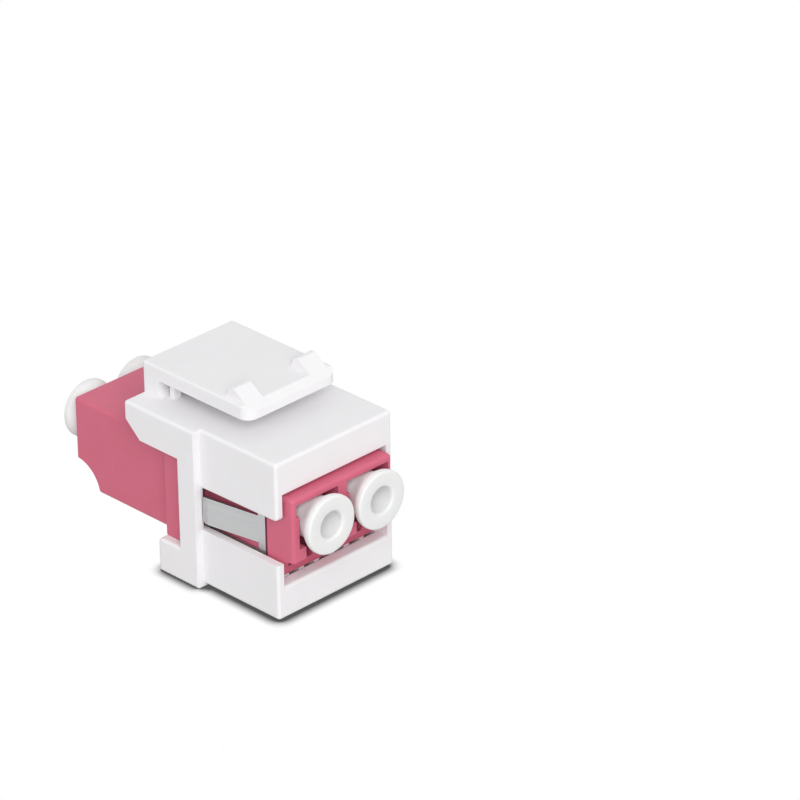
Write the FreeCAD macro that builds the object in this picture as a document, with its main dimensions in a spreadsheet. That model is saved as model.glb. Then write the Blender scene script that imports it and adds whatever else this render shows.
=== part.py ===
import FreeCAD, Part
import os
import Sketcher

# Frame of reference: X across, -Y towards the front face, +Z up.
# Y = 0 is the plane where the two adapter halves meet, Z = 0 is the underside of the foot.

SIZES = {
    # Optical interface: duplex pitch, plug body and ferrule are standard sizes
    "port_pitch": 6.25,
    "plug_body": 4.52,
    "plug_clear": 0.02,
    "ferrule_bore": 1.246,
    "sleeve_outside": 1.62,
    "sleeve_length": 6.8,
    "sleeve_slit": 0.25,
    "sleeve_clear": 0.05,
    "sleeve_gap": 0.1,
    # Adapter housing
    "adapter_wall": 0.795,
    "axis_rise": 6.07,
    "axis_to_top": 2.9,
    "adapter_half": 14.45,
    "adapter_floor": 0.8,
    "flange_rise": 0.95,
    "flange_half": 1.5,
    "web_half": 1.0,
    "key_side": 0.32,
    "key_tall": 1.25,
    "latch_width": 2.95,
    "ledge_length": 3.0,
    "notch_radius": 3.15,
    "notch_drop": 0.42,
    "front_notch_radius": 2.6,
    "front_notch_drop": 0.0,
    "tube_wall": 0.44,
    "tube_lip": 0.7,
    "lip_catch": 0.11,
    "funnel_side": 0.3,
    "bump_width": 0.9,
    "bump_tall": 0.3,
    "bump_after": 0.27,
    "bump_length": 1.8,
    "shell_round": 0.35,
    "flange_round": 0.45,
    # Spring clip
    "clip_sheet": 0.25,
    "clip_clear": 0.02,
    "clip_front": 10.85,
    "clip_front_gap": 0.25,
    "clip_rear": 2.3,
    "clip_under": 0.55,
    "clip_strip": 0.9,
    "clip_bend": 0.4,
    "leaf_inset": 0.75,
    "leaf_slot": 0.45,
    "leaf_catch": 0.21,
    "leaf_pad": 0.65,
    "leaf_gap": 0.06,
    "leaf_round": 0.4,
    "leaf_slot_round": 0.2,
    # Keystone frame
    "front_to_stop": 9.8,
    "stop_thick": 2.12,
    "stop_lip": 0.85,
    "step_under": 0.25,
    "side_clear": 0.27,
    "side_wall": 0.73,
    "floor_slab": 1.6,
    "floor_high": 3.42,
    "tray_wall": 2.4,
    "tray_round": 0.3,
    "skirt_tall": 2.38,
    "skirt_slant": 0.2,
    "roof_clear": 0.21,
    "roof_tall": 3.42,
    "seat_gap": 0.03,
    "seat_overlap": 0.2,
    "catch_step": 0.1,
    "foot_rear": 1.49,
    "roof_rear": 5.42,
    "slant_length": 1.99,
    "slant_tall": 1.8,
    "opening_lead": 0.2,
    "core_width": 1.24,
    "core_pitch": 1.88,
    "core_lip": 1.17,
    "core_cross": 0.4,
    "core_break_at": 4.4,
    "core_break": 0.7,
    "lever_width": 11.16,
    "lever_thick": 1.35,
    "lever_reach": 13.77,
    "lever_root": 1.92,
    "slot_tall": 1.75,
    "tip_tall": 0.85,
    "ramp_run": 2.35,
    "prong_tall": 1.0,
    "prong_flat": 0.45,
    "prong_slope": 0.6,
    "prong_width": 2.1,
    "prong_inset": 0.55,
    "rib_inset": 0.8,
    "rib_width": 0.8,
    "rib_length": 0.6,
    "rib_pocket": 0.75,
    "edge_round": 0.3,
    "slot_round": 0.6,
    "tip_round": 1.1,
    "heel_round": 0.15,
    "foot_round": 0.5,
    "skirt_round": 0.5,
    "lever_edge": 0.2,
    "overlap": 0.5,
    # Dust caps
    "cap_apart": 0.55,
    "cap_thick": 0.6,
    "cap_stand": 1.85,
    "cap_depth": 5.4,
    "cap_clear": 0.05,
    "cap_slim": 0.18,
    "cap_bead": 1.2,
    "cap_bead_ramp": 0.5,
    "cap_hole": 2.6,
    "cap_hole_deep": 3.0,
    "cap_rim": 0.2,
    "cap_mouth": 0.12,
    "cap_nose": 0.3,
}


class Size:
    """A length in millimetres, kept with the sheet expression that gives it."""

    def __init__(self, value, text):
        self.value = value
        self.text = text

    def __add__(self, other):
        other = size(other)
        return Size(self.value + other.value, "(" + self.text + " + " + other.text + ")")

    def __sub__(self, other):
        other = size(other)
        return Size(self.value - other.value, "(" + self.text + " - " + other.text + ")")

    def __neg__(self):
        return Size(-self.value, "(-1 * " + self.text + ")")

    def __mul__(self, factor):
        return Size(self.value * factor, "(" + self.text + " * " + repr(factor) + ")")

    def __truediv__(self, factor):
        return Size(self.value / factor, "(" + self.text + " / " + repr(factor) + ")")


def size(value):
    if isinstance(value, Size):
        return value
    return Size(float(value), repr(float(value)))


class Sheet:
    """Reads sheet cells as attributes, each one a Size."""

    def __init__(self, values):
        for name, value in values.items():
            setattr(self, name, Size(value, "Sizes." + name))


doc = FreeCAD.newDocument("coupler")
table = doc.addObject("Spreadsheet::Sheet", "Sizes")
for row, (alias, number) in enumerate(SIZES.items(), start=1):
    table.set("A%d" % row, alias)
    table.set("B%d" % row, str(number))
    table.setAlias("B%d" % row, alias)
doc.recompute()
s = Sheet(SIZES)


def new_body(name):
    body = doc.addObject("PartDesign::Body", name)
    body.Label = name
    return body


def origin_feature(body, role):
    for feature in body.Origin.OriginFeatures:
        if feature.Role == role:
            return feature
    raise RuntimeError("no origin feature " + role)


def new_sketch(body, name, plane, away=None):
    """A sketch on one of the body's own planes, moved along the plane's normal by away."""
    sketch = body.newObject("Sketcher::SketchObject", name)
    sketch.AttachmentSupport = [(origin_feature(body, plane + "_Plane"), "")]
    sketch.MapMode = "FlatFace"
    if away is not None:
        sketch.setExpression("AttachmentOffset.Base.z", away.text)
    return sketch


def pin_point(sketch, geometry, position, across, up):
    """Ties one sketch point to the sheet in both directions."""
    for kind, length, axis in (("DistanceX", across, -2), ("DistanceY", up, -1)):
        if length.value == 0.0:
            sketch.addConstraint(Sketcher.Constraint("PointOnObject", geometry, position, axis))
            continue
        rule = Sketcher.Constraint(kind, -1, 1, geometry, position, length.value)
        number = sketch.addConstraint(rule)
        sketch.setExpression("Constraints[%d]" % number, length.text)


def add_outline(sketch, corners):
    """A closed straight-sided outline whose corners all follow the sheet."""
    corners = [(size(across), size(up)) for across, up in corners]
    first = sketch.GeometryCount
    count = len(corners)
    for index in range(count):
        start = corners[index]
        end = corners[(index + 1) % count]
        line = Part.LineSegment(
            FreeCAD.Vector(start[0].value, start[1].value, 0),
            FreeCAD.Vector(end[0].value, end[1].value, 0),
        )
        sketch.addGeometry(line, False)
    for index in range(count):
        following = first + (index + 1) % count
        sketch.addConstraint(Sketcher.Constraint("Coincident", first + index, 2, following, 1))
    for index, (across, up) in enumerate(corners):
        pin_point(sketch, first + index, 1, across, up)


def add_box(sketch, left, right, low, high):
    add_outline(sketch, [(left, low), (right, low), (right, high), (left, high)])


def add_circle(sketch, across, up, diameter):
    across, up, diameter = size(across), size(up), size(diameter)
    centre = FreeCAD.Vector(across.value, up.value, 0)
    geometry = sketch.addGeometry(
        Part.Circle(centre, FreeCAD.Vector(0, 0, 1), diameter.value / 2), False
    )
    pin_point(sketch, geometry, 3, across, up)
    number = sketch.addConstraint(Sketcher.Constraint("Diameter", geometry, diameter.value))
    sketch.setExpression("Constraints[%d]" % number, diameter.text)


def sweep(body, kind, name, sketch, length, symmetric=False, backwards=False):
    """A pad or a pocket of a given length."""
    feature = body.newObject("PartDesign::" + kind, name)
    feature.Profile = sketch
    feature.Type = "Length"
    feature.setExpression("Length", size(length).text)
    if symmetric:
        feature.SideType = "Symmetric"
    feature.Reversed = backwards
    sketch.Visibility = False
    doc.recompute()
    return feature


def cone_hole(body, name, centre, mouth, deep, wide, narrow):
    """A round hole along Y that narrows from its mouth, which faces +Y, to its far end."""
    cone = body.newObject("PartDesign::SubtractiveCone", name)
    cone.AttachmentSupport = [(origin_feature(body, "XZ_Plane"), "")]
    cone.MapMode = "FlatFace"
    across, up = size(centre[0]), size(centre[1])
    cone.setExpression("AttachmentOffset.Base.x", across.text)
    cone.setExpression("AttachmentOffset.Base.y", up.text)
    cone.setExpression("AttachmentOffset.Base.z", (-mouth).text)
    cone.setExpression("Height", deep.text)
    cone.setExpression("Radius1", (wide / 2).text)
    cone.setExpression("Radius2", (narrow / 2).text)
    doc.recompute()
    return cone


def edge_names(shape, wanted):
    names = []
    for index, edge in enumerate(shape.Edges, start=1):
        if wanted(edge):
            names.append("Edge%d" % index)
    return names


def curve_kind(edge):
    """Line, Circle and so on; the pole of a rounded corner has no curve."""
    if edge.Degenerated:
        return ""
    return edge.Curve.TypeId.replace("Part::Geom", "")


def runs_along(edge, axis):
    """True for a straight edge parallel to a coordinate axis."""
    if curve_kind(edge) != "Line":
        return False
    direction = edge.Curve.Direction
    return abs(abs((direction.x, direction.y, direction.z)["XYZ".index(axis)]) - 1) < 1e-6


def near(value, *lengths):
    return any(abs(value - size(length).value) < 1e-4 for length in lengths)


def dress_edges(body, kind, name, wanted, length):
    """A fillet or a chamfer on every edge that wanted() picks."""
    base = body.Tip
    names = edge_names(base.Shape, wanted)
    if not names:
        raise RuntimeError("no edges for " + name)
    feature = body.newObject("PartDesign::" + kind, name)
    feature.Base = (base, names)
    feature.setExpression({"Fillet": "Radius", "Chamfer": "Size"}[kind], length.text)
    doc.recompute()
    return feature


# Widths that several pieces share, from the port lanes outwards
lane = s.port_pitch / 2
half_plug = s.plug_body / 2 + s.plug_clear
half_key = half_plug + s.key_side
half_adapter = lane + half_plug + s.adapter_wall
half_flange = half_adapter + s.flange_rise
half_open = half_adapter + s.side_clear
half_front = half_open + s.side_wall
half_stop = half_front + s.stop_lip
half_wing = half_flange - s.seat_overlap
half_lever = s.lever_width / 2

# Heights that several pieces share, from the foot upwards
adapter_low = s.floor_high + s.seat_gap
axis_height = adapter_low + s.axis_rise
adapter_high = axis_height + s.axis_to_top
latch_floor = adapter_low + s.adapter_floor
port_low = axis_height - half_plug
port_top = axis_height + half_plug
key_low = port_top - s.key_tall
opening_high = adapter_high + s.roof_clear
frame_high = opening_high + s.roof_tall
window_low = s.floor_high + s.tray_wall
window_high = opening_high - s.skirt_tall
window_back = window_high - s.skirt_slant
room_high = window_back - s.catch_step
lever_low = frame_high + s.slot_tall
lever_high = lever_low + s.lever_thick
prong_high = lever_high + s.prong_tall

# Lengths that several pieces share, from the weld plane forwards and backwards
stop_rear = -s.flange_half - s.seat_gap
stop_front = stop_rear - s.stop_thick
front = stop_front - s.front_to_stop
slant_start = s.roof_rear - s.slant_length
slot_rear = s.roof_rear - s.lever_root
lever_tip = s.roof_rear - s.lever_reach


# Keystone frame: one white moulding with a spring lever over its roof
frame = new_body("keystone_frame")

box = new_sketch(frame, "front_box_outline", "YZ")
add_box(box, front, stop_rear, s.step_under, frame_high)
sweep(frame, "Pad", "front_box", box, half_front * 2, symmetric=True)

stop = new_sketch(frame, "stop_outline", "YZ")
add_outline(stop, [
    (stop_front, 0),
    (s.foot_rear, 0),
    (s.foot_rear, s.floor_high),
    (stop_rear, s.floor_high),
    (stop_rear, opening_high),
    (slant_start, opening_high),
    (s.roof_rear, opening_high + s.slant_tall),
    (s.roof_rear, frame_high),
    (stop_front, frame_high),
])
sweep(frame, "Pad", "stop_foot_and_roof", stop, half_stop * 2, symmetric=True)

ramp_foot = lever_low + s.tip_tall
prong_front = lever_tip + s.ramp_run
prong_rear = prong_front + s.prong_flat
lever = new_sketch(frame, "lever_outline", "YZ")
add_outline(lever, [
    (s.roof_rear, frame_high - s.overlap),
    (s.roof_rear, lever_high),
    (prong_rear + s.prong_slope, lever_high),
    (prong_rear, prong_high),
    (lever_tip, prong_high),
    (lever_tip, lever_low),
    (slot_rear, lever_low),
    (slot_rear, frame_high - s.overlap),
])
sweep(frame, "Pad", "latch_lever", lever, s.lever_width, symmetric=True)
dress_edges(frame, "Fillet", "lever_tip_rounds", lambda e: runs_along(e, "Z") and near(
    e.CenterOfMass.y, lever_tip) and near(abs(e.CenterOfMass.x), half_lever), s.tip_round)

ramp = new_sketch(frame, "snap_ramp_outline", "YZ")
add_outline(ramp, [
    (lever_tip, ramp_foot),
    (prong_front, prong_high),
    (prong_front, prong_high + s.overlap),
    (lever_tip - s.overlap, prong_high + s.overlap),
    (lever_tip - s.overlap, ramp_foot),
])
sweep(frame, "Pocket", "snap_ramp", ramp, s.lever_width * 2, symmetric=True)

prong_out = half_lever - s.prong_inset
prong_in = prong_out - s.prong_width
gap = new_sketch(frame, "prong_gap_outline", "XZ")
for left, right in ((-half_stop, -prong_out), (-prong_in, prong_in), (prong_out, half_stop)):
    add_box(gap, left, right, lever_high, prong_high + s.overlap)
sweep(frame, "Pocket", "prong_gaps", gap, s.lever_reach * 2, symmetric=True)

whole_length = (s.roof_rear - front) * 2
opening = new_sketch(frame, "opening_outline", "XZ")
add_box(opening, -half_open, half_open, s.floor_high, opening_high)
sweep(frame, "Pocket", "adapter_opening", opening, whole_length, symmetric=True)

window = new_sketch(frame, "window_outline", "YZ")
add_outline(window, [
    (front, window_low),
    (stop_front, window_low),
    (stop_front, window_back),
    (front, window_high),
])
sweep(frame, "Pocket", "side_windows", window, half_stop * 4, symmetric=True)

catch = new_sketch(frame, "leaf_catch_outline", "YZ")
add_box(catch, stop_front - s.overlap, stop_front + s.catch_step, window_low, room_high)
sweep(frame, "Pocket", "leaf_catches", catch, half_front * 2, symmetric=True)

wing = new_sketch(frame, "wing_room_outline", "YZ")
add_box(wing, stop_front - s.overlap, stop_rear + s.overlap, window_low, room_high)
sweep(frame, "Pocket", "wing_rooms", wing, half_wing * 2, symmetric=True)

dress_edges(frame, "Fillet", "slot_end_rounds", lambda e: runs_along(e, "X") and near(
    e.CenterOfMass.y, slot_rear) and near(e.CenterOfMass.z, lever_low, frame_high), s.slot_round)
dress_edges(frame, "Fillet", "tray_lip_round", lambda e: runs_along(e, "X") and near(
    e.CenterOfMass.y, front) and near(e.CenterOfMass.z, s.floor_high), s.tray_round)
dress_edges(frame, "Chamfer", "opening_lead_in", lambda e: runs_along(e, "X") and near(
    e.CenterOfMass.y, front) and near(e.CenterOfMass.z, opening_high), s.opening_lead)
dress_edges(frame, "Fillet", "skirt_corner_rounds", lambda e: runs_along(e, "X") and near(
    e.CenterOfMass.y, front) and near(e.CenterOfMass.z, window_high), s.skirt_round)
dress_edges(frame, "Fillet", "lever_heel_round", lambda e: runs_along(e, "X") and near(
    e.CenterOfMass.y, s.roof_rear) and near(e.CenterOfMass.z, lever_high), s.heel_round)
dress_edges(frame, "Fillet", "foot_heel_round", lambda e: runs_along(e, "X") and near(
    e.CenterOfMass.y, s.foot_rear) and near(e.CenterOfMass.z, s.floor_high), s.foot_round)


def outer_edge(edge):
    """Outside corners of the box, the stop and the roof."""
    c = edge.CenterOfMass
    on_side = near(abs(c.x), half_front, half_stop)
    if runs_along(edge, "Y"):
        return on_side and near(c.z, 0, s.step_under, frame_high)
    if runs_along(edge, "Z"):
        return on_side and near(c.y, front, s.roof_rear, s.foot_rear)
    if runs_along(edge, "X"):
        at_front = near(c.x, 0) and near(c.y, front) and near(c.z, s.step_under, frame_high)
        return at_front or (near(c.y, s.roof_rear) and near(c.z, frame_high))
    return False


def lever_top_edge(edge):
    """Upper side edges of the lever and the crests of its prongs."""
    c = edge.CenterOfMass
    if runs_along(edge, "Y"):
        return near(abs(c.x), half_lever) and near(c.z, lever_high)
    if runs_along(edge, "X"):
        return near(c.y, prong_front, prong_rear) and near(c.z, prong_high)
    return False


dress_edges(frame, "Fillet", "outer_rounds", outer_edge, s.edge_round)
dress_edges(frame, "Fillet", "lever_top_rounds", lever_top_edge, s.lever_edge)

rib_outside = s.rib_inset - half_lever
rib_rear = slot_rear - s.rib_pocket
rib = new_sketch(frame, "root_rib_outline", "XY", away=frame_high - s.overlap)
add_box(rib, rib_outside, rib_outside + s.rib_width, rib_rear - s.rib_length, rib_rear)
sweep(frame, "Pad", "root_rib", rib, s.overlap + s.slot_tall + s.lever_thick / 2)

core_first = s.core_pitch * -3
core_front = front + s.core_lip
core_side = s.core_width / 2 - core_first
cross = new_sketch(frame, "core_cross_outline", "XY", away=s.floor_high + s.overlap)
add_box(cross, -core_side, s.core_break_at - s.core_break / 2, core_front, core_front + s.core_cross)
add_box(cross, s.core_break_at + s.core_break / 2, core_side, core_front, core_front + s.core_cross)
sweep(frame, "Pocket", "core_cross_groove", cross, s.floor_high - s.floor_slab + s.overlap)
core = new_sketch(frame, "core_outline", "XZ", away=-s.foot_rear)
add_box(core, core_first - s.core_width / 2, core_first + s.core_width / 2,
        s.floor_slab, s.floor_high + s.overlap)
core_run = s.foot_rear - core_front
core_cut = sweep(frame, "Pocket", "floor_core", core, core_run, backwards=True)
cores = frame.newObject("PartDesign::LinearPattern", "floor_cores")
cores.Originals = [core_cut]
cores.Direction = (origin_feature(frame, "X_Axis"), [""])
cores.Occurrences = 7
cores.setExpression("Length", (s.core_pitch * 6).text)
frame.Tip = cores
doc.recompute()


# Adapter housing: two welded halves, each drawn with its open end towards +Y
tube_bore = s.sleeve_outside + s.sleeve_clear * 2
tube_outside = tube_bore + s.tube_wall * 2
tube_length = s.sleeve_length / 2 + s.sleeve_gap + s.tube_lip
throat = s.sleeve_outside - s.lip_catch * 2
bump_start = slant_start + s.bump_after
clip_low = window_low - s.clip_under


def adapter_half_body(name, with_bump, with_recess, notch_radius, notch_drop):
    body = new_body(name)
    shell = new_sketch(body, name + "_shell_outline", "XZ")
    add_box(shell, -half_adapter, half_adapter, adapter_low, adapter_high)
    sweep(body, "Pad", name + "_shell", shell, s.adapter_half, backwards=True)
    dress_edges(body, "Fillet", name + "_shell_rounds", lambda e: (
        runs_along(e, "Y") or near(e.CenterOfMass.y, s.adapter_half)), s.shell_round)

    flange = new_sketch(body, name + "_flange_outline", "XZ")
    add_box(flange, -half_flange, half_flange, adapter_low, adapter_high)
    sweep(body, "Pad", name + "_flange", flange, s.flange_half, backwards=True)
    dress_edges(body, "Fillet", name + "_flange_rounds", lambda e: (
        runs_along(e, "Z") and near(abs(e.CenterOfMass.x), half_flange)
        and near(e.CenterOfMass.y, s.flange_half)), s.flange_round)

    deep = s.adapter_half - s.web_half
    ports = new_sketch(body, name + "_port_outline", "XZ", away=-s.adapter_half)
    for centre in (-lane, lane):
        add_outline(ports, [
            (centre - half_plug, port_low),
            (centre + half_plug, port_low),
            (centre + half_plug, key_low),
            (centre + half_key, key_low),
            (centre + half_key, port_top),
            (centre - half_key, port_top),
            (centre - half_key, key_low),
            (centre - half_plug, key_low),
        ])
    sweep(body, "Pocket", name + "_ports", ports, deep, backwards=True)

    half_latch = s.latch_width / 2
    lanes = new_sketch(body, name + "_latch_outline", "XZ", away=-s.adapter_half)
    for centre in (-lane, lane):
        add_box(lanes, centre - half_latch, centre + half_latch,
                latch_floor, port_low + s.overlap)
    sweep(body, "Pocket", name + "_latch_lanes", lanes, deep, backwards=True)

    rooms = new_sketch(body, name + "_room_outline", "XZ", away=s.ledge_length - s.adapter_half)
    for centre in (-lane, lane):
        add_box(rooms, centre - half_plug, centre + half_plug,
                latch_floor, port_low + s.overlap)
    sweep(body, "Pocket", name + "_latch_rooms", rooms, deep - s.ledge_length, backwards=True)

    notch = new_sketch(body, name + "_notch_outline", "YZ")
    add_circle(notch, s.adapter_half, adapter_low - notch_drop, notch_radius * 2)
    sweep(body, "Pocket", name + "_finger_notch", notch, half_stop * 2, symmetric=True)

    tubes = new_sketch(body, name + "_tube_outline", "XZ")
    for centre in (-lane, lane):
        add_circle(tubes, centre, axis_height, tube_outside)
    sweep(body, "Pad", name + "_sleeve_tubes", tubes, tube_length, backwards=True)
    bores = new_sketch(body, name + "_bore_outline", "XZ")
    for centre in (-lane, lane):
        add_circle(bores, centre, axis_height, tube_bore)
    sweep(body, "Pocket", name + "_sleeve_bores", bores, tube_length - s.tube_lip)
    for side, centre in (("_left", -lane), ("_right", lane)):
        cone_hole(body, name + "_ferrule_funnel" + side, (centre, axis_height), tube_length,
                  s.tube_lip, throat + s.funnel_side * 2, throat)

    if with_bump:
        bump = new_sketch(body, name + "_bump_outline", "YZ")
        add_outline(bump, [
            (bump_start, adapter_high - s.clip_sheet),
            (bump_start + s.bump_length, adapter_high - s.clip_sheet),
            (bump_start + s.bump_length, adapter_high),
            (bump_start + s.bump_length / 4, adapter_high + s.bump_tall),
            (bump_start, adapter_high + s.bump_tall),
        ])
        sweep(body, "Pad", name + "_stop_bump", bump, s.bump_width, symmetric=True)
    if with_recess:
        floor_x = half_adapter - s.clip_sheet - s.clip_clear
        roof_z = adapter_high - s.clip_sheet - s.clip_clear
        edge_low = clip_low - s.clip_clear * 3
        beyond = half_adapter + s.overlap
        recess_front = s.clip_front + s.clip_front_gap
        recess = new_sketch(body, name + "_recess_outline", "XZ", away=-recess_front)
        add_outline(recess, [
            (floor_x, edge_low),
            (beyond, edge_low),
            (beyond, adapter_high + s.overlap),
            (-beyond, adapter_high + s.overlap),
            (-beyond, edge_low),
            (-floor_x, edge_low),
            (-floor_x, roof_z),
            (floor_x, roof_z),
        ])
        sweep(body, "Pocket", name + "_clip_recess", recess,
              recess_front - s.clip_rear + s.clip_clear, backwards=True)
    return body


adapter_rear = adapter_half_body("adapter_rear", True, False, s.notch_radius, s.notch_drop)
adapter_front = adapter_half_body(
    "adapter_front", False, True, s.front_notch_radius, s.front_notch_drop)
turned = FreeCAD.Rotation(FreeCAD.Vector(0, 0, 1), 180)
adapter_front.Placement = FreeCAD.Placement(FreeCAD.Vector(0, 0, 0), turned)


# Spring clip: one folded strip of sheet steel with a leaf cut free on each side
clip = new_body("spring_clip")
strap = new_sketch(clip, "strap_outline", "XZ", away=s.clip_front)
inside_x = half_adapter - s.clip_sheet
inside_z = adapter_high - s.clip_sheet
add_outline(strap, [
    (half_adapter, clip_low),
    (half_adapter, adapter_high),
    (-half_adapter, adapter_high),
    (-half_adapter, clip_low),
    (-inside_x, clip_low),
    (-inside_x, inside_z),
    (inside_x, inside_z),
    (inside_x, clip_low),
])
sweep(clip, "Pad", "strap", strap, s.clip_front - s.clip_rear, backwards=True)
dress_edges(clip, "Fillet", "strap_bends", lambda e: runs_along(e, "Y") and near(
    abs(e.CenterOfMass.x), half_adapter) and near(e.CenterOfMass.z, adapter_high), s.clip_bend)
dress_edges(clip, "Fillet", "strap_inner_bends", lambda e: runs_along(e, "Y") and near(
    abs(e.CenterOfMass.x), inside_x) and near(e.CenterOfMass.z, inside_z), s.clip_bend - s.clip_sheet)

leaf_low = window_low + s.leaf_inset
leaf_high = window_back - s.leaf_inset
leaf_out = half_wing + s.leaf_catch
leaf_root = -s.clip_front + s.clip_strip
room = new_sketch(clip, "leaf_room_outline", "YZ")
add_box(room, leaf_root, -s.clip_rear - s.clip_strip / 2,
        window_low, leaf_high + s.leaf_slot)
sweep(clip, "Pocket", "leaf_rooms", room, half_stop * 2, symmetric=True)
dress_edges(clip, "Fillet", "leaf_room_rounds", lambda e: runs_along(e, "X") and near(
    e.CenterOfMass.y, leaf_root) and near(
    e.CenterOfMass.z, window_low, leaf_high + s.leaf_slot), s.leaf_slot_round)

leaf_tip = stop_front - s.leaf_gap
leaf_bend = leaf_tip - s.leaf_pad
leaves = new_sketch(clip, "leaf_outline", "XY", away=leaf_low)
for side in (-1, 1):
    add_outline(leaves, [
        (half_adapter * side, leaf_root - s.clip_strip / 2),
        (half_adapter * side, leaf_root),
        (leaf_out * side, leaf_bend),
        (leaf_out * side, leaf_tip),
        ((leaf_out - s.clip_sheet) * side, leaf_tip),
        ((leaf_out - s.clip_sheet) * side, leaf_bend),
        (inside_x * side, leaf_root),
        (inside_x * side, leaf_root - s.clip_strip / 2),
    ])
sweep(clip, "Pad", "leaves", leaves, leaf_high - leaf_low)
dress_edges(clip, "Fillet", "leaf_tip_rounds", lambda e: runs_along(e, "X") and near(
    e.CenterOfMass.y, leaf_tip) and near(e.CenterOfMass.z, leaf_low, leaf_high), s.leaf_round)


# Split sleeves: slit ceramic tubes that line the two ferrules up
def sleeve_body(name, centre):
    body = new_body(name)
    ring = new_sketch(body, name + "_ring_outline", "XZ")
    add_circle(ring, 0, 0, s.sleeve_outside)
    add_circle(ring, 0, 0, s.ferrule_bore)
    sweep(body, "Pad", name + "_ring", ring, s.sleeve_length, symmetric=True)
    slit = new_sketch(body, name + "_slit_outline", "XZ")
    half_slit = s.sleeve_slit / 2
    add_box(slit, -half_slit, half_slit, s.ferrule_bore / 4, s.sleeve_outside)
    sweep(body, "Pocket", name + "_slit", slit, s.sleeve_length * 2, symmetric=True)
    body.setExpression("Placement.Base.x", centre.text)
    body.setExpression("Placement.Base.z", axis_height.text)
    doc.recompute()
    return body


sleeve_left = sleeve_body("split_sleeve_left", -lane)
sleeve_right = sleeve_body("split_sleeve_right", lane)


# Dust caps: one turned shape, a grip flange that narrows to a shank, which has a low bead before its nose
def cap_body(name, centre, turned_round):
    body = new_body(name)
    face = s.adapter_half + s.cap_stand
    back = face - s.cap_thick
    nose = s.adapter_half - s.cap_depth
    bead = nose + s.cap_bead
    flange_radius = (s.port_pitch - s.cap_apart) / 2
    bead_radius = half_plug - s.cap_clear
    shank_radius = bead_radius - s.cap_slim
    hole_radius = s.cap_hole / 2
    half_section = new_sketch(body, name + "_section", "YZ")
    add_outline(half_section, [
        (face - s.cap_hole_deep, 0),
        (face - s.cap_hole_deep, hole_radius),
        (face - s.cap_mouth, hole_radius),
        (face, hole_radius + s.cap_mouth),
        (face, flange_radius - s.cap_rim),
        (face - s.cap_rim, flange_radius),
        (back + s.cap_rim, flange_radius),
        (back, flange_radius - s.cap_rim),
        (s.adapter_half, shank_radius),
        (bead + s.cap_bead_ramp, shank_radius),
        (bead, bead_radius),
        (nose, shank_radius - s.cap_nose),
        (nose, 0),
    ])
    turning = body.newObject("PartDesign::Revolution", name + "_turning")
    turning.Profile = half_section
    turning.ReferenceAxis = (origin_feature(body, "Y_Axis"), [""])
    turning.Angle = 360
    half_section.Visibility = False
    doc.recompute()

    if turned_round:
        body.Placement = FreeCAD.Placement(FreeCAD.Vector(0, 0, 0), turned)
    body.setExpression("Placement.Base.x", centre.text)
    body.setExpression("Placement.Base.z", axis_height.text)
    doc.recompute()
    return body


cap_front_left = cap_body("dust_cap_front_left", -lane, True)
cap_front_right = cap_body("dust_cap_front_right", lane, True)
cap_rear_left = cap_body("dust_cap_rear_left", -lane, False)
cap_rear_right = cap_body("dust_cap_rear_right", lane, False)

doc.recompute()
for item in doc.Objects:
    if "Invalid" in item.State or "Error" in item.State:
        raise RuntimeError(item.Name + " did not build: " + str(item.State))

pieces = [
    frame, adapter_front, adapter_rear, clip, sleeve_left, sleeve_right,
    cap_front_left, cap_front_right, cap_rear_left, cap_rear_right,
]
os.makedirs("parts", exist_ok=True)
for piece in pieces:
    shape = piece.Shape
    if shape.isNull() or not shape.isValid() or len(shape.Solids) != 1:
        raise RuntimeError(piece.Label + " is not one valid solid")
    shape.exportStep("parts/" + piece.Label + ".step")
    box_of = shape.BoundBox
    print(piece.Label, round(shape.Volume, 2), [
        round(value, 2) for value in (
            box_of.XMin, box_of.XMax, box_of.YMin, box_of.YMax, box_of.ZMin, box_of.ZMax)
    ])
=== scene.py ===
# %% [markdown]
# # Dressing a duplex fibre coupler
# The CAD model already holds the true shape of every hard piece: the white keystone frame, the two
# rose halves of the adapter, the spring steel clip and the ceramic sleeves. A scene could also be
# modelled again from nothing, but then nothing would line up with the joints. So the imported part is
# loaded as a fixed frame, and each node gets the finish of the real thing. Only the soft dust caps
# are modelled anew, and one slim bar is added behind the lip of the frame's tray.

import math

import bmesh
import bpy
from mathutils import Matrix, Vector


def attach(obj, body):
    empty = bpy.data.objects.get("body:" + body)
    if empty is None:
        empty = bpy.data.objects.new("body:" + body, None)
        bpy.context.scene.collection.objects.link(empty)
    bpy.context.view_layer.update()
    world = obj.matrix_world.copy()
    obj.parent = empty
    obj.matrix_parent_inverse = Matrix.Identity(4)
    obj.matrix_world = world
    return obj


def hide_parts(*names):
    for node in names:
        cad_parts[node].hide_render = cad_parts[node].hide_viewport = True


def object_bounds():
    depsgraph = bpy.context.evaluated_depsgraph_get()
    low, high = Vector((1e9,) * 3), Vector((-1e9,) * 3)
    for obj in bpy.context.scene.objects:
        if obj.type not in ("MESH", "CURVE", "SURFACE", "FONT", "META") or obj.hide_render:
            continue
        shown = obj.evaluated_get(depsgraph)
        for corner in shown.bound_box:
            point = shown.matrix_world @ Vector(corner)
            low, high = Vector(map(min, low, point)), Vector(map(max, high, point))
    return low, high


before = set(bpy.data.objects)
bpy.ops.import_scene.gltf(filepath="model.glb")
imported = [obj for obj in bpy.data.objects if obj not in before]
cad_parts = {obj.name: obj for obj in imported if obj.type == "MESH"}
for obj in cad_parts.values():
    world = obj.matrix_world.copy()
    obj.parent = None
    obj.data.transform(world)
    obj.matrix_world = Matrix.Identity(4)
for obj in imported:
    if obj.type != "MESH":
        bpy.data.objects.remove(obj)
cad_low, cad_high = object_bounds()
MM = 0.001
print("nodes:", sorted(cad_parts))
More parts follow.
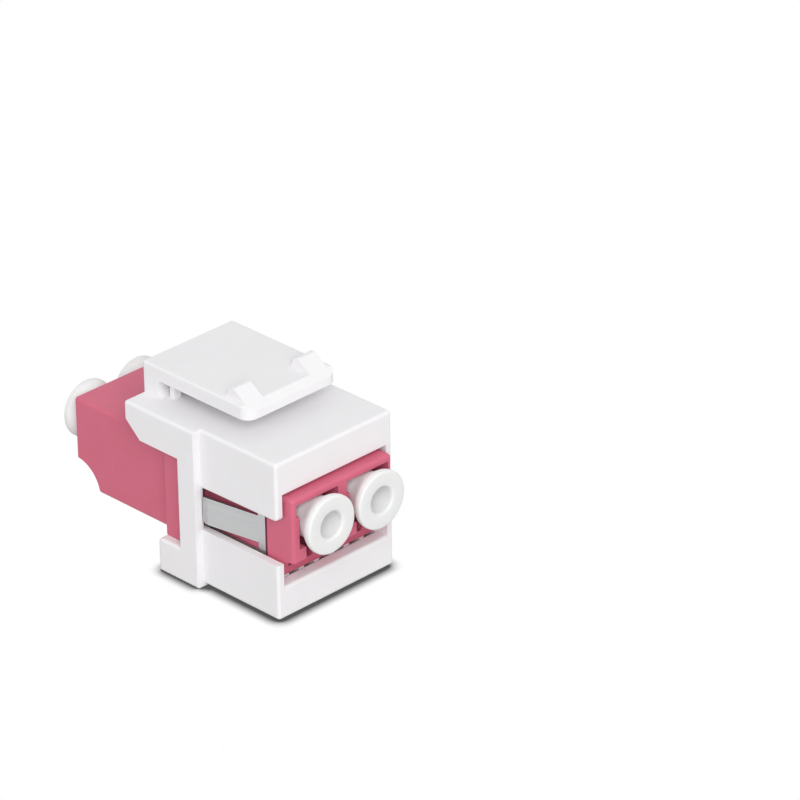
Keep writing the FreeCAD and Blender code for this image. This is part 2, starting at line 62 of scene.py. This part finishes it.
print("CAD box in mm:", [round(side / MM, 2) for side in cad_high - cad_low])

# %% [markdown]
# ## The camera
# The photograph looks down on the front left corner of the coupler with a long lens, which keeps
# parallel edges nearly parallel. The eye point, the lens and the turn were solved once from the
# corners of the frame, so they are written here as plain values. A target with a tracking constraint
# would be quicker to set up, but it could not give the slight roll that the photograph has.

# %% Set the camera, its places in metres
EYE_POINT = Vector((-0.27391, -0.29949, 0.22877))
EYE_TURN_DEGREES = (62.1701, 0.7422, -45.0089)
LENS_MM = 227.97
SENSOR_MM = 36.0
NEAREST_SEEN = 0.01
FARTHEST_SEEN = 20.0

camera_data = bpy.data.cameras.new("photo_camera")
camera_data.lens = LENS_MM
camera_data.sensor_fit = "HORIZONTAL"
camera_data.sensor_width = SENSOR_MM
camera_data.clip_start = NEAREST_SEEN
camera_data.clip_end = FARTHEST_SEEN
camera = bpy.data.objects.new("photo_camera", camera_data)
camera.location = EYE_POINT
camera.rotation_euler = [math.radians(angle) for angle in EYE_TURN_DEGREES]
bpy.context.scene.collection.objects.link(camera)
bpy.context.scene.camera = camera
bpy.context.scene.view_settings.view_transform = "Standard"
eye_distance = (EYE_POINT - (cad_low + cad_high) / 2).length
print("camera", round(eye_distance / MM), "mm from the coupler")

# %% [markdown]
# ## Helpers for shader nodes
# Every finish below is a small node tree. Trees could be copied from one finish to the next, but a few
# helpers keep them short: they add a node with its settings, join two sockets, start a material and
# run a colour from one tone to another.


# %% Node helpers
def add_node(tree, kind, **settings):
    """Add a node and set its properties."""
    node = tree.nodes.new(kind)
    for name, value in settings.items():
        setattr(node, name, value)
    return node


def join(tree, source, target):
    """Lead an output socket into an input socket."""
    tree.links.new(source, target)


def opaque(colour):
    """The colour with the full alpha that a colour socket asks for."""
    return (*colour, 1.0)


def new_finish(name):
    """A new material with its node tree and its main shader."""
    finish = bpy.data.materials.new(name)
    finish.use_nodes = True
    return finish, finish.node_tree, finish.node_tree.nodes["Principled BSDF"]


def ramp_between(tree, amount, low, high, start, end):
    """A colour that runs from low to high while the amount runs from start to end."""
    ramp = add_node(tree, "ShaderNodeValToRGB")
    ramp.color_ramp.elements[0].position = start
    ramp.color_ramp.elements[0].color = opaque(low)
    ramp.color_ramp.elements[1].position = end
    ramp.color_ramp.elements[1].color = opaque(high)
    join(tree, amount, ramp.inputs["Fac"])
    return ramp.outputs["Color"]


# %% [markdown]
# ## What the picture sees
# The background has to be pure white, yet more light on the coupler would bleach it. So the world and
# the floor have two shaders each: one that light meets when it bounces, and one that the picture shows.
# The Light Path node tells them apart. Camera rays alone would do for the background, but glossy and
# transmission rays are added, so that the steel clip mirrors the same white that the camera sees.

# %% Picture helpers
PICTURE_RAYS = ("Is Camera Ray", "Is Glossy Ray", "Is Transmission Ray")


def seen_in_picture(tree):
    """1 for the rays that belong to the picture, 0 for light that bounces."""
    path = add_node(tree, "ShaderNodeLightPath")
    total = path.outputs[PICTURE_RAYS[0]]
    for ray in PICTURE_RAYS[1:]:
        either = add_node(tree, "ShaderNodeMath", operation="ADD", use_clamp=True)
        join(tree, total, either.inputs[0])
        join(tree, path.outputs[ray], either.inputs[1])
        total = either.outputs[0]
    return total


def show_in_picture(tree, met_by_light, shown, output):
    """Let the picture show one shader while light that bounces meets another."""
    choice = add_node(tree, "ShaderNodeMixShader")
    join(tree, seen_in_picture(tree), choice.inputs[0])
    join(tree, met_by_light, choice.inputs[1])
    join(tree, shown, choice.inputs[2])
    join(tree, choice.outputs[0], output.inputs["Surface"])


print("rays that see the picture:", PICTURE_RAYS)

# %% [markdown]
# ## A white studio
# The coupler was photographed in an even white tent and shown on pure white. A dome of lamps would do,
# but a plain world is the simplest tent. It gives about two thirds of the light, and the lamp below
# gives the rest, so that a colour renders about as it is written. Where the camera looks past the
# object, or sees the tent mirrored in it, the world is exactly white.

# %% World
WHITE = (1.0, 1.0, 1.0)
TENT_LEVEL = 0.66
WHITE_LEVEL = 1.0


def white_sky(tree, level):
    """A white background of the given strength."""
    background = add_node(tree, "ShaderNodeBackground")
    background.inputs["Color"].default_value = opaque(WHITE)
    background.inputs["Strength"].default_value = level
    return background.outputs[0]


world = bpy.data.worlds.new("white_tent")
bpy.context.scene.world = world
world.use_nodes = True
sky = world.node_tree
sky.nodes.clear()
sky_output = add_node(sky, "ShaderNodeOutputWorld")
show_in_picture(sky, white_sky(sky, TENT_LEVEL), white_sky(sky, WHITE_LEVEL), sky_output)
print("world lights at", TENT_LEVEL, "and shows at", WHITE_LEVEL)

# %% [markdown]
# ## The floor
# The coupler stands on its foot on a white table. A shadow catcher would lose the table in other
# views, so this is a real plane, at the height of the foot.


# %% Make the floor, in metres
def new_piece(name, shape):
    """An object at the origin, made from a bmesh that is then let go."""
    mesh = bpy.data.meshes.new(name)
    shape.to_mesh(mesh)
    shape.free()
    piece = bpy.data.objects.new(name, mesh)
    bpy.context.scene.collection.objects.link(piece)
    return piece


FLOOR_REACH = 3.0

shape = bmesh.new()
bmesh.ops.create_grid(shape, x_segments=1, y_segments=1, size=FLOOR_REACH)
bmesh.ops.translate(shape, verts=shape.verts, vec=(0.0, 0.0, cad_low.z))
floor = new_piece("white_table", shape)
print("floor at", round(cad_low.z / MM, 3), "mm")

# %% [markdown]
# Light that bounces meets a mid-grey matt board, which keeps the sides as shaded as they are in the
# photograph. The picture shows the same board as white paper with painted shade: its emitted colour is
# darkened only where the coupler closes off the sky within about a millimetre, which draws the narrow
# soft line of shade along every bottom edge. Ambient occlusion measures how open the sky is there, from
# 0 to 1, and a ramp turns that into the painted shade.

# %% Paper finish
BOARD_GREY = (0.58, 0.58, 0.58)
BOARD_ROUGHNESS = 0.9
SHADE_GREY = (0.09, 0.09, 0.09)
SHADE_REACH = 1.25 * MM
SHADE_SAMPLES = 16
OPEN_WHERE_DARKEST = 0.50
OPEN_WHERE_WHITE = 0.97

paper, tree, board = new_finish("white_paper")
board.inputs["Base Color"].default_value = opaque(BOARD_GREY)
board.inputs["Roughness"].default_value = BOARD_ROUGHNESS
openness = add_node(tree, "ShaderNodeAmbientOcclusion", samples=SHADE_SAMPLES)
openness.inputs["Distance"].default_value = SHADE_REACH
# Painted shade: the emitted colour runs from dark grey where the paper is closed off to white where it is
# open; no lamp casts it.
shade = ramp_between(tree, openness.outputs["AO"], SHADE_GREY, WHITE,
                     OPEN_WHERE_DARKEST, OPEN_WHERE_WHITE)
shown = add_node(tree, "ShaderNodeEmission")
join(tree, shade, shown.inputs["Color"])
show_in_picture(tree, board.outputs[0], shown.outputs[0], tree.nodes["Material Output"])
floor.data.materials.append(paper)
print("shade reaches", round(SHADE_REACH / MM, 2), "mm along the floor")

# %% [markdown]
# ## One soft key lamp
# In the photograph the top, the front and the left side are almost equally bright, even the slot under
# the lever and the blind holes of the caps are well lit, and the lever throws only a narrow soft shade
# on the roof. Such light comes from beside the camera and from a little higher. A bare lamp would draw
# hard edges and a wall of light hardly any shade, so this is an area lamp of middling size.

# %% Key lamp, in metres and watts
KEY_PLACE = Vector((-0.50, -0.67, 0.54))
KEY_SIZE = 0.6
KEY_WATTS = 6.0

key_data = bpy.data.lights.new("soft_key", "AREA")
key_data.shape = "SQUARE"
key_data.size = KEY_SIZE
key_data.energy = KEY_WATTS
key = bpy.data.objects.new("soft_key", key_data)
key.location = KEY_PLACE
key.rotation_euler = (-KEY_PLACE).to_track_quat("-Z", "Y").to_euler()
bpy.context.scene.collection.objects.link(key)
print("key lamp", round(KEY_PLACE.length, 2), "m away")

# %% [markdown]
# ## Grain that belongs to the piece
# A moulded or rolled surface is never one flat value: its colour drifts over millimetres, its polish
# over tenths, and a fine grain breaks the reflections. Pictures could carry this, but noise on Object
# coordinates needs no unwrapping, stays with the piece when it moves and can be baked. Object
# coordinates are in metres here, so a noise scale of 1000 gives blotches about one millimetre wide.
# Most of a noise lies in the middle of its range, so colour and polish change between two values there.

# %% Noise helpers
NOISE_LOW = 0.30
NOISE_HIGH = 0.70


def noise_over(tree, blotch_mm, detail=2.0, stretch=(1.0, 1.0, 1.0)):
    """A noise with blotches of the given size; a small stretch value makes them long that way."""
    place = add_node(tree, "ShaderNodeTexCoord")
    mapping = add_node(tree, "ShaderNodeMapping")
    mapping.inputs["Scale"].default_value = stretch
    noise = add_node(tree, "ShaderNodeTexNoise")
    noise.inputs["Scale"].default_value = 1.0 / (blotch_mm * MM)
    noise.inputs["Detail"].default_value = detail
    join(tree, place.outputs["Object"], mapping.inputs["Vector"])
    join(tree, mapping.outputs["Vector"], noise.inputs["Vector"])
    return noise.outputs["Fac"]


def vary_colour(tree, shader, noise, low, high):
    """Let the base colour follow a noise from one tone to another."""
    colour = ramp_between(tree, noise, low, high, NOISE_LOW, NOISE_HIGH)
    join(tree, colour, shader.inputs["Base Color"])


def vary_polish(tree, shader, noise, low, high):
    """Let the roughness follow a noise from one value to another."""
    span = add_node(tree, "ShaderNodeMapRange")
    span.inputs["From Min"].default_value = NOISE_LOW
    span.inputs["From Max"].default_value = NOISE_HIGH
    span.inputs["To Min"].default_value = low
    span.inputs["To Max"].default_value = high
    join(tree, noise, span.inputs["Value"])
    join(tree, span.outputs["Result"], shader.inputs["Roughness"])


def raise_grain(tree, shader, noise, height_mm, strength):
    """Let a noise tilt the surface a little, as a grain of the given height would."""
    bump = add_node(tree, "ShaderNodeBump")
    bump.inputs["Strength"].default_value = strength
    bump.inputs["Distance"].default_value = height_mm * MM
    join(tree, noise, bump.inputs["Height"])
    join(tree, bump.outputs["Normal"], shader.inputs["Normal"])


print("noise is read from", NOISE_LOW, "to", NOISE_HIGH)

# %% [markdown]
# ## Moulded plastics
# Frame, adapter and caps are all injection moulded. Each could have a tree of its own, but one recipe
# serves the three: a colour that drifts slightly where the melt flowed, a satin polish that varies, the
# fine spark-eroded grain of the mould, and a little light that sinks in and comes out again.

# %% Moulded plastic recipe
DRIFT_MM = 2.6
DRIFT_DETAIL = 3.0
HAZE_MM = 0.6
GRAIN_STRENGTH = 0.25
PLASTIC_SHINE = 0.38
PLASTIC_IOR = 1.5
SINK_RADIUS = (1.0, 0.9, 0.85)


def moulded_plastic(name, pale, deep, polish, grain_mm, grain_height, sink, sink_reach):
    """A plastic that drifts between two tones; lengths are in millimetres."""
    finish, tree, shader = new_finish(name)
    vary_colour(tree, shader, noise_over(tree, DRIFT_MM, DRIFT_DETAIL), deep, pale)
    vary_polish(tree, shader, noise_over(tree, HAZE_MM), *polish)
    raise_grain(tree, shader, noise_over(tree, grain_mm), grain_height, GRAIN_STRENGTH)
    shader.inputs["Specular IOR Level"].default_value = PLASTIC_SHINE
    shader.inputs["IOR"].default_value = PLASTIC_IOR
    shader.inputs["Subsurface Weight"].default_value = sink
    shader.inputs["Subsurface Radius"].default_value = SINK_RADIUS
    shader.inputs["Subsurface Scale"].default_value = sink_reach * MM
    return finish


# %% [markdown]
# The plastics differ only in their values. One white could serve the frame and the caps, but in the
# photograph the frame has a touch of lilac and the caps are neutral. The caps are also softer and
# milkier, so light travels further in them. The rose pigment is dense and lets no light in, and its
# polish is the highest of the three.

# %% Three plastics
frame_white = moulded_plastic(
    "frame_white", pale=(0.855, 0.843, 0.856), deep=(0.838, 0.828, 0.841), polish=(0.56, 0.68),
    grain_mm=0.09, grain_height=0.006, sink=0.15, sink_reach=0.4)
adapter_rose = moulded_plastic(
    "adapter_rose", pale=(0.640, 0.135, 0.215), deep=(0.618, 0.127, 0.203), polish=(0.46, 0.51),
    grain_mm=0.08, grain_height=0.005, sink=0.0, sink_reach=0.2)
cap_white = moulded_plastic(
    "cap_white", pale=(0.822, 0.824, 0.822), deep=(0.806, 0.809, 0.807), polish=(0.52, 0.64),
    grain_mm=0.07, grain_height=0.004, sink=0.4, sink_reach=0.6)
print("plastics:", [finish.name for finish in (frame_white, adapter_rose, cap_white)])

# %% [markdown]
# ## Spring steel
# The clip is stamped from rolled strip. Rolling leaves fine lines along the strip, which runs along Y on
# the leaves, so the noise is stretched that way, and across the leaf's slight slant too: what is left
# changes only with the height. It streaks the polish and the colour and raises a faint grain. Real
# scratches could be modelled, but they are far finer than a pixel.

# %% Steel finish
STEEL_DARK = (0.52, 0.525, 0.53)
STEEL_PALE = (0.57, 0.575, 0.58)
STEEL_POLISH = (0.30, 0.38)
ALONG_STRIP = (0.02, 0.01, 1.0)
STREAK_MM = 0.12
STREAK_DETAIL = 3.0
STREAK_HEIGHT_MM = 0.001
STREAK_STRENGTH = 0.10

clip_steel, tree, shader = new_finish("clip_steel")
streaks = noise_over(tree, STREAK_MM, STREAK_DETAIL, ALONG_STRIP)
vary_colour(tree, shader, streaks, STEEL_DARK, STEEL_PALE)
vary_polish(tree, shader, streaks, *STEEL_POLISH)
raise_grain(tree, shader, streaks, STREAK_HEIGHT_MM, STREAK_STRENGTH)
shader.inputs["Metallic"].default_value = 1.0
print("steel:", clip_steel.name)

# %% [markdown]
# ## Ceramic sleeves
# The sleeves are ground zirconia: dense, ivory white and glossy, with a faint cloudiness. A ceramic could
# have depth and an inner glow, but deep in the ports it only shows as a pale ring. So a simple tree does:
# two ivories that drift and a high polish.

# %% Ceramic finish
IVORY_DEEP = (0.78, 0.765, 0.72)
IVORY_PALE = (0.84, 0.825, 0.785)
CERAMIC_POLISH = (0.10, 0.20)
CERAMIC_IOR = 2.1
CLOUD_MM = 0.8
CLOUD_DETAIL = 3.0

sleeve_ceramic, tree, shader = new_finish("sleeve_ceramic")
cloud = noise_over(tree, CLOUD_MM, CLOUD_DETAIL)
vary_colour(tree, shader, cloud, IVORY_DEEP, IVORY_PALE)
vary_polish(tree, shader, cloud, *CERAMIC_POLISH)
shader.inputs["IOR"].default_value = CERAMIC_IOR
print("ceramic:", sleeve_ceramic.name)

# %% [markdown]
# ## Finishes on the CAD nodes
# These nodes already have the real shape, so they stay and only change their material slots. The frame
# is one moulding and one node; the two adapter halves are welded from the same plastic.

# %% Dress the CAD nodes
NODE_FINISHES = {
    "keystone_frame": frame_white,
    "adapter_front": adapter_rose,
    "adapter_rear": adapter_rose,
    "spring_clip": clip_steel,
    "split_sleeve_left": sleeve_ceramic,
    "split_sleeve_right": sleeve_ceramic,
}
for node_name, finish in NODE_FINISHES.items():
    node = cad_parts[node_name]
    for slot in node.material_slots:
        slot.material = finish
    print(node_name, "->", finish.name, "on", len(node.material_slots), "slot")

# %% [markdown]
# ## Dust caps
# A dust cap is one soft moulding, round all along: a flange to grip, a neck that narrows to the port, a
# shank with a low bead that clamps in the port, and a blind hole that cores out the thick middle. The
# CAD cap has the right sizes, but its rims are plain chamfers. On the real cap every rim is rolled over,
# and it is the first thing one sees. The shape could be built from cylinders and cones; a spun half
# section is better here, because every corner of it can have a round of its own, convex or hollow,
# before it is turned.

# %% Cap sizes in millimetres, measured from the flange's face along the shank
FLANGE_RADIUS = 2.85
FLANGE_THICK = 0.60
RIM_ROUND = 0.20
NECK_END = 1.85
NECK_ROUND = 0.45
SHANK_RADIUS = 2.05
SHANK_END = 7.25
BEAD_START = 5.55
BEAD_CREST = 6.05
BEAD_RADIUS = 2.23
BEAD_ROUND = 0.25
NOSE_RADIUS = 1.75
NOSE_ROUND = 0.20
HOLE_RADIUS = 1.30
HOLE_DRAFT = 0.08
HOLE_DEPTH = 3.0
HOLE_ROUND = 0.30
MOUTH_ROUND = 0.28

# Each corner of the half section: radius, distance from the face, and the round it gets
CAP_SECTION = [
    (0.0, HOLE_DEPTH, 0.0),
    (HOLE_RADIUS - HOLE_DRAFT, HOLE_DEPTH, HOLE_ROUND),
    (HOLE_RADIUS, 0.0, MOUTH_ROUND),
    (FLANGE_RADIUS, 0.0, RIM_ROUND),
    (FLANGE_RADIUS, FLANGE_THICK, RIM_ROUND),
    (SHANK_RADIUS, NECK_END, NECK_ROUND),
    (SHANK_RADIUS, BEAD_START, BEAD_ROUND),
    (BEAD_RADIUS, BEAD_CREST, BEAD_ROUND),
    (NOSE_RADIUS, SHANK_END, NOSE_ROUND),
    (0.0, SHANK_END, 0.0),
]
print("cap corners:", len(CAP_SECTION), "overall length", SHANK_END, "mm")

# %% [markdown]
# The corners become vertices, joined by edges in their order. Bevelling a single vertex rounds that
# corner, and the spin then turns the rounded line once round the axis. The first and last points lie on
# the axis, so the spin leaves a heap of points there, which merging the doubles closes.

# %% Turn a cap
CENTRE = (0.0, 0.0, 0.0)
CAP_AXIS = (0.0, 1.0, 0.0)
ROUND_STEPS = 6
SPIN_STEPS = 96
MERGE_BELOW = 0.0005


def turned_cap():
    """The cap as a bmesh, its axis along +Y and its face at the origin."""
    shape = bmesh.new()
    corners = [shape.verts.new((radius, distance, 0.0)) for radius, distance, _ in CAP_SECTION]
    for first, second in zip(corners, corners[1:]):
        shape.edges.new((first, second))
    for corner, (_, _, corner_round) in zip(corners, CAP_SECTION):
        if corner_round > 0.0:
            bmesh.ops.bevel(shape, geom=[corner], affect="VERTICES", offset=corner_round,
                            offset_type="OFFSET", segments=ROUND_STEPS, profile=0.5, material=-1)
    bmesh.ops.spin(shape, geom=shape.verts[:] + shape.edges[:], cent=CENTRE, axis=CAP_AXIS,
                   angle=math.tau, steps=SPIN_STEPS, use_merge=True)
    bmesh.ops.remove_doubles(shape, verts=shape.verts, dist=MERGE_BELOW)
    bmesh.ops.recalc_face_normals(shape, faces=shape.faces)
    return shape


print("a cap is turned in", SPIN_STEPS, "steps")

# %% [markdown]
# Each port gets a cap of its own, turned to face outwards and put in its place in the mesh itself,
# because the finished objects have to sit at the origin. Each cap rides on its own body, so it pulls
# straight out.

# %% Place the four caps, in millimetres from the middle of the foot
CAP_HEIGHT = 9.52
PORT_LANE = 3.125
FACE_DISTANCE = 16.30
SMOOTH_BELOW_DEGREES = 32.0

# For each port: its place across the coupler, and the way its cap faces along Y
PORTS = {
    "front_left": (-PORT_LANE, -1.0),
    "front_right": (PORT_LANE, -1.0),
    "rear_left": (-PORT_LANE, 1.0),
    "rear_right": (PORT_LANE, 1.0),
}
HALF_TURN = Matrix.Rotation(math.pi, 3, "Z")

for port, (across, outwards) in PORTS.items():
    shape = turned_cap()
    if outwards > 0.0:
        bmesh.ops.rotate(shape, verts=shape.verts, cent=CENTRE, matrix=HALF_TURN)
    face_centre = (across, outwards * FACE_DISTANCE, CAP_HEIGHT)
    bmesh.ops.translate(shape, verts=shape.verts, vec=face_centre)
    bmesh.ops.scale(shape, verts=shape.verts, vec=(MM, MM, MM))
    for face in shape.faces:
        face.smooth = True
    for edge in shape.edges:
        edge.smooth = edge.calc_face_angle(0.0) < math.radians(SMOOTH_BELOW_DEGREES)
    cap = new_piece("soft_cap_" + port, shape)
    cap.data.materials.append(cap_white)
    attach(cap, "cap_" + port)
    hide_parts("dust_cap_" + port)
    print(cap.name, "has", len(cap.data.polygons), "faces and rides on", "cap_" + port)

# %% [markdown]
# ## The back of the tray's lip
# In front of the adapter the frame ends in a low tray, and only a thin dark gap is left between its lip
# and the adapter. The frame's node has a wider groove there, in which the ends of the ribs show. The
# groove could be closed up in a changed copy of the frame's mesh, but that would trade a clean node for
# a small detail. A slim bar of the same plastic along the back of the lip does the same. It reaches a
# little into the walls round it and lies a hair lower than the lip, so that no two faces coincide.

# %% Lip bar, in millimetres
LIP_BACK = -12.28
LIP_TOP = 3.42
GROOVE_FLOOR = 1.60
GROOVE_HALF_WIDTH = 6.26
BAR_DEPTH = 0.20
BAR_GRIP = 0.05
BAR_SINK = 0.01
BAR_ROUND = 0.04
BAR_ROUND_STEPS = 3

bar_low = Vector((-GROOVE_HALF_WIDTH - BAR_GRIP, LIP_BACK - BAR_GRIP, GROOVE_FLOOR - BAR_GRIP))
bar_high = Vector((GROOVE_HALF_WIDTH + BAR_GRIP, LIP_BACK + BAR_DEPTH, LIP_TOP - BAR_SINK))
shape = bmesh.new()
bmesh.ops.create_cube(shape, size=1.0)
bmesh.ops.scale(shape, verts=shape.verts, vec=bar_high - bar_low)
bmesh.ops.translate(shape, verts=shape.verts, vec=(bar_low + bar_high) / 2)
back_edge = [edge for edge in shape.edges
             if all(vert.co.y > LIP_BACK and vert.co.z > GROOVE_FLOOR for vert in edge.verts)]
bmesh.ops.bevel(shape, geom=back_edge, affect="EDGES", offset=BAR_ROUND, offset_type="OFFSET",
                segments=BAR_ROUND_STEPS, profile=0.5, material=-1)
bmesh.ops.scale(shape, verts=shape.verts, vec=(MM, MM, MM))
lip_bar = new_piece("tray_lip_bar", shape)
lip_bar.data.materials.append(frame_white)
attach(lip_bar, "coupler")
bar_faces = len(lip_bar.data.polygons)
print(lip_bar.name, "has", bar_faces, "faces and makes the lip", BAR_DEPTH, "mm deeper")
